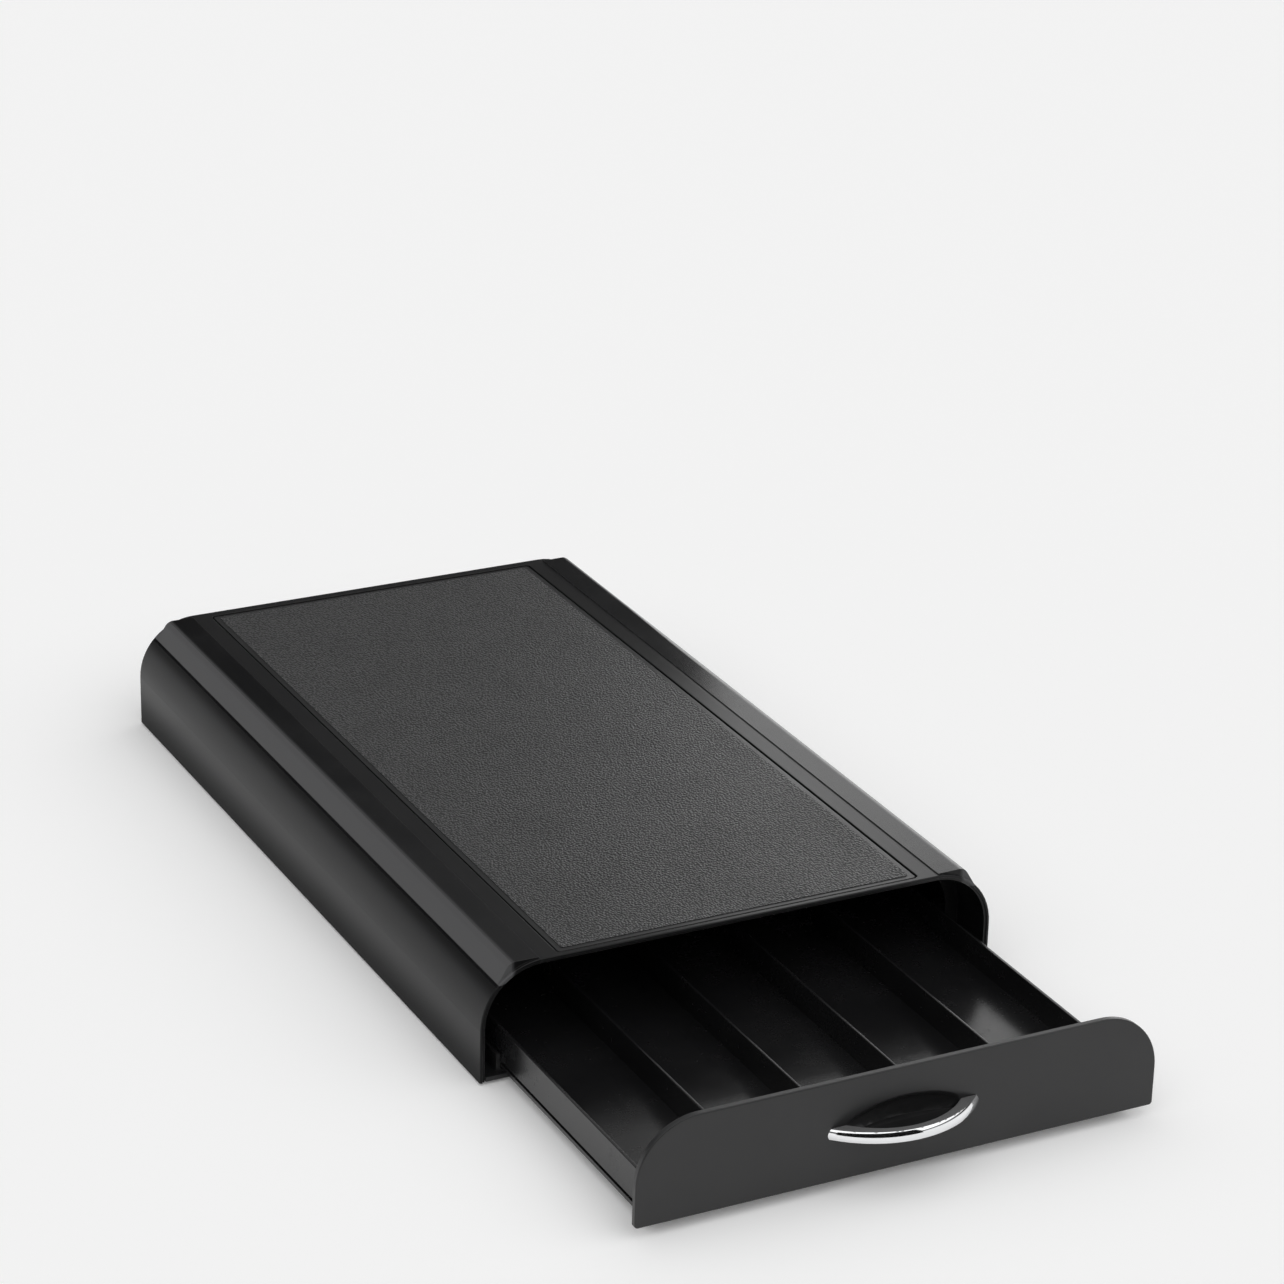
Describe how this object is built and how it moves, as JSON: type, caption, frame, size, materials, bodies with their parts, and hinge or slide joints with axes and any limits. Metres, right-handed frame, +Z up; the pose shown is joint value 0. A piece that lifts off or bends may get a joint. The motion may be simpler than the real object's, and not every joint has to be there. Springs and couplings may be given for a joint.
{
  "type": "coffee pod organizer",
  "caption": "Low black hood with a grained anti-slip top and a long divided drawer for coffee pods, shown part open, with a chrome-edged crescent handle.",
  "frame": {"origin": "centre of the box round the part at rest, with the drawer part open, at the height of the table it stands on", "axes": "+Z up; +Y from the drawer's handle to the back of the hood; +X to the right of someone facing the handle"},
  "size_m": [0.252, 0.5692, 0.0556],
  "materials": {
    "hood_plastic": "finely textured satin black moulding",
    "front_plastic": "finely textured satin black moulding",
    "tray_plastic": "polished black moulding",
    "plate_plastic": "plain black moulding",
    "runner_plastic": "low-friction dark grey plastic, waxy",
    "mat_rubber": "pebble-grained soft black sheet",
    "foot_rubber": "plain black soft rubber",
    "trim_chrome": "bright plated strip",
    "screw_steel": "zinc-plated steel"
  },
  "bodies": {
    "housing": {"housing_shell": "hood_plastic", "anti_slip_mat": "mat_rubber", "base_plate": "plate_plastic", "base_screws": "screw_steel", "runner_left": "runner_plastic", "runner_right": "runner_plastic", "foot_front_left": "foot_rubber", "foot_front_right": "foot_rubber", "foot_rear_left": "foot_rubber", "foot_rear_right": "foot_rubber"},
    "drawer": {"drawer_tray": "tray_plastic", "column_divider_1": "tray_plastic", "column_divider_2": "tray_plastic", "column_divider_3": "tray_plastic", "column_divider_4": "tray_plastic", "drawer_front": "front_plastic", "front_screws": "screw_steel", "handle_grip": "front_plastic", "handle_trim": "trim_chrome"}
  },
  "joints": [
    {"name": "drawer_slide", "type": "slide", "parent": "housing", "child": "drawer", "axis": [0, -1, 0], "range_m": [-0.14, 0.135]}
  ]
}
